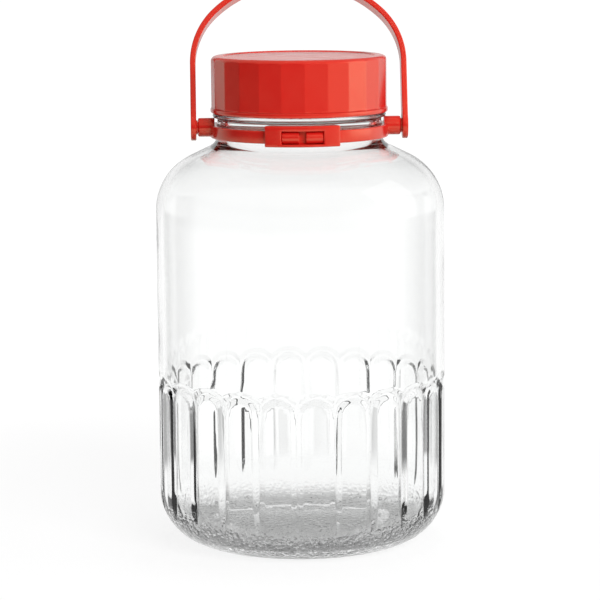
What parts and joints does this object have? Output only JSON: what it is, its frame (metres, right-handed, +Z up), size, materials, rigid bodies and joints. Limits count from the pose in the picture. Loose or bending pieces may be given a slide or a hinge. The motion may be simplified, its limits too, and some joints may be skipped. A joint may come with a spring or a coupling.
{
  "type": "glass storage jar",
  "caption": "Tall clear glass storage jar with arch-topped panels round its lower half, a faceted red screw cap over a push-in inner lid, and a swivelling neck collar with a bail handle.",
  "frame": {"origin": "centre of the foot, on the surface that the jar stands on", "axes": "+Z up along the jar's axis, +X along the handle's pivots, the collar's clasp faces -Y"},
  "size_m": [0.175, 0.175, 0.3442],
  "materials": {
    "clear_glass": "clear soda-lime glass, smooth, with a stippled foot",
    "red_plastic": "moulded polypropylene, glossy",
    "natural_plastic": "natural polyethylene, satin"
  },
  "bodies": {
    "jar": {"glass_jar": "clear_glass"},
    "lid": {"inner_lid": "natural_plastic"},
    "cap": {"screw_cap": "red_plastic"},
    "collar": {"collar_band": "red_plastic", "clasp_sleeve": "red_plastic"},
    "handle": {"bail_handle": "red_plastic"}
  },
  "joints": [
    {"name": "cap_rise", "type": "slide", "parent": "jar", "child": "lid", "axis": [0, 0, 1], "range_m": [0, 0.012]},
    {"name": "cap_turn", "type": "hinge", "parent": "lid", "child": "cap", "pos_m": [0, 0, 0.28], "axis": [0, 0, 1], "range_deg": [0, 540]},
    {"name": "collar_swivel", "type": "hinge", "parent": "jar", "child": "collar", "pos_m": [0, 0, 0.2519], "axis": [0, 0, 1], "continuous": true},
    {"name": "handle_swing", "type": "hinge", "parent": "collar", "child": "handle", "pos_m": [0, 0, 0.25411], "axis": [1, 0, 0], "range_deg": [-88, 124]}
  ],
  "couplings": [
    {"joint": "cap_rise", "follows": "cap_turn", "m_per_rad": 0.0012732}
  ]
}
